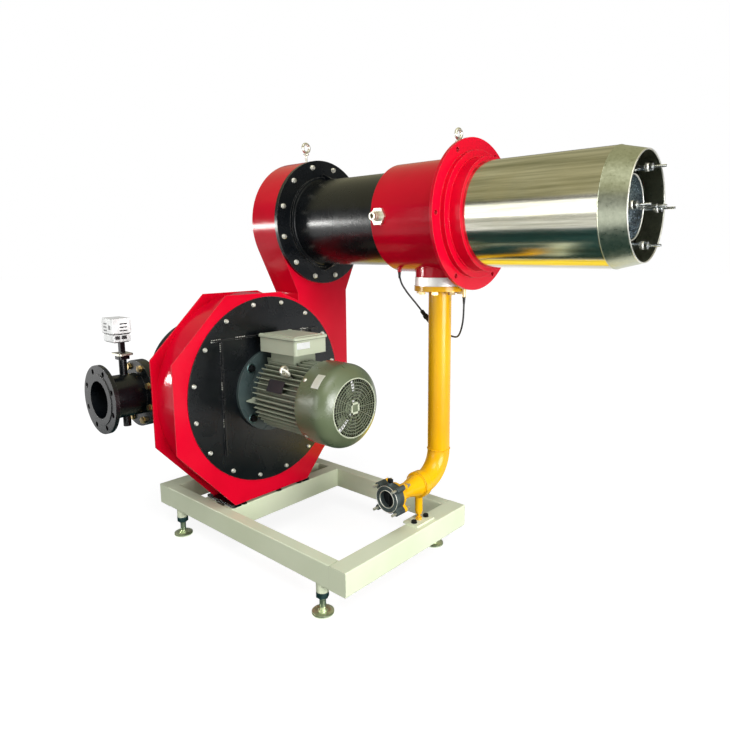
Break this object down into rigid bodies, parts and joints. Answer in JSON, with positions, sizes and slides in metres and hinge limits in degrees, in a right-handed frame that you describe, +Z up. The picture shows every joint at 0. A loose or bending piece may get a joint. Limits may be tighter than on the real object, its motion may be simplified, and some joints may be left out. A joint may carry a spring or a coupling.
{
  "type": "industrial gas burner",
  "caption": "Floor-standing gas burner: scroll blower with flange motor, upright air duct, horizontal burner head with steel blast tube, gas riser with valve and a frame on levelling feet.",
  "frame": {"origin": "centre of the furnace face of the mounting flange", "axes": "+X along the firing direction, +Z up, +Y to the left when looking along the firing direction"},
  "size_m": [2.0165, 1.145, 1.749],
  "materials": {
    "red_paint": "gloss crimson enamel",
    "black_paint": "satin black enamel",
    "frame_paint": "pale cream-green enamel",
    "gas_paint": "gas-yellow enamel",
    "motor_paint": "satin grey-green enamel",
    "zinc": "zinc-plated",
    "blast_steel": "rolled stainless, semi-bright",
    "dark_steel": "plain steel, dull",
    "valve_iron": "grey-blue casting",
    "cast_alloy": "bare cast alloy",
    "cable": "matte black jacket",
    "plug_plastic": "moulded, matte"
  },
  "bodies": {
    "base": {"frame_rail_near": "frame_paint", "frame_rail_far": "frame_paint", "frame_end_front": "frame_paint", "frame_end_rear": "frame_paint", "frame_cross_front": "frame_paint", "frame_cross_rear": "frame_paint", "leg_plate": "frame_paint", "foot_lock_nuts": "zinc", "casing_feet": "black_paint", "casing_shell": "red_paint", "fan_front_plate": "red_paint", "fan_back_plate": "red_paint", "access_cover": "black_paint", "cover_bolts": "zinc", "inlet_cone": "dark_steel", "inlet_drum": "black_paint", "intake_guard": "dark_steel", "motor_body": "motor_paint", "motor_flange": "motor_paint", "motor_flange_bolts": "zinc", "motor_cowl": "motor_paint", "terminal_box": "motor_paint", "terminal_box_lid": "motor_paint", "inlet_stub": "black_paint", "air_valve_body": "black_paint", "air_valve_bolts": "zinc", "actuator_bracket": "zinc", "actuator": "cast_alloy", "burner_flange": "black_paint", "burner_flange_bolts": "zinc", "air_tube": "black_paint", "gas_manifold": "red_paint", "mounting_flange": "red_paint", "blast_tube": "blast_steel", "firing_core": "dark_steel", "gas_lances": "dark_steel", "flame_sensor_port": "zinc", "lifting_eyes": "zinc", "gas_adapter": "cast_alloy", "gas_riser": "gas_paint", "gas_flange_bolts": "zinc", "gas_elbow": "gas_paint", "gas_branch": "gas_paint", "gas_valve_body": "valve_iron", "gas_valve_studs": "zinc", "support_leg": "gas_paint", "leg_plate_bolts": "zinc", "gas_sensor": "cast_alloy", "lead_upper": "cable", "lead_connector": "plug_plastic", "lead_lower": "cable"},
    "rotor": {"impeller": "dark_steel", "motor_shaft": "dark_steel", "motor_cooling_fan": "plug_plastic"},
    "air_damper": {"air_valve_disc": "dark_steel"},
    "gas_damper": {"gas_valve_disc": "valve_iron"},
    "foot_front_near": {"levelling_foot_front_near": "zinc"},
    "foot_front_far": {"levelling_foot_front_far": "zinc"},
    "foot_rear_near": {"levelling_foot_rear_near": "zinc"},
    "foot_rear_far": {"levelling_foot_rear_far": "zinc"}
  },
  "joints": [
    {"name": "rotor_spin", "type": "hinge", "parent": "base", "child": "rotor", "pos_m": [-0.85, -0.33, -0.705], "axis": [1, 0, 0], "continuous": true},
    {"name": "air_damper_turn", "type": "hinge", "parent": "base", "child": "air_damper", "pos_m": [-1.226, -0.765, -0.718], "axis": [0, 0, 1], "range_deg": [0, 90]},
    {"name": "gas_damper_turn", "type": "hinge", "parent": "base", "child": "gas_damper", "pos_m": [-0.156, -0.302, -1.026], "axis": [0, 0, 1], "range_deg": [0, 90]},
    {"name": "foot_front_near_height", "type": "slide", "parent": "base", "child": "foot_front_near", "axis": [0, 0, 1], "range_m": [-0.02, 0.02]},
    {"name": "foot_front_far_height", "type": "slide", "parent": "base", "child": "foot_front_far", "axis": [0, 0, 1], "range_m": [-0.02, 0.02]},
    {"name": "foot_rear_near_height", "type": "slide", "parent": "base", "child": "foot_rear_near", "axis": [0, 0, 1], "range_m": [-0.02, 0.02]},
    {"name": "foot_rear_far_height", "type": "slide", "parent": "base", "child": "foot_rear_far", "axis": [0, 0, 1], "range_m": [-0.02, 0.02]}
  ]
}
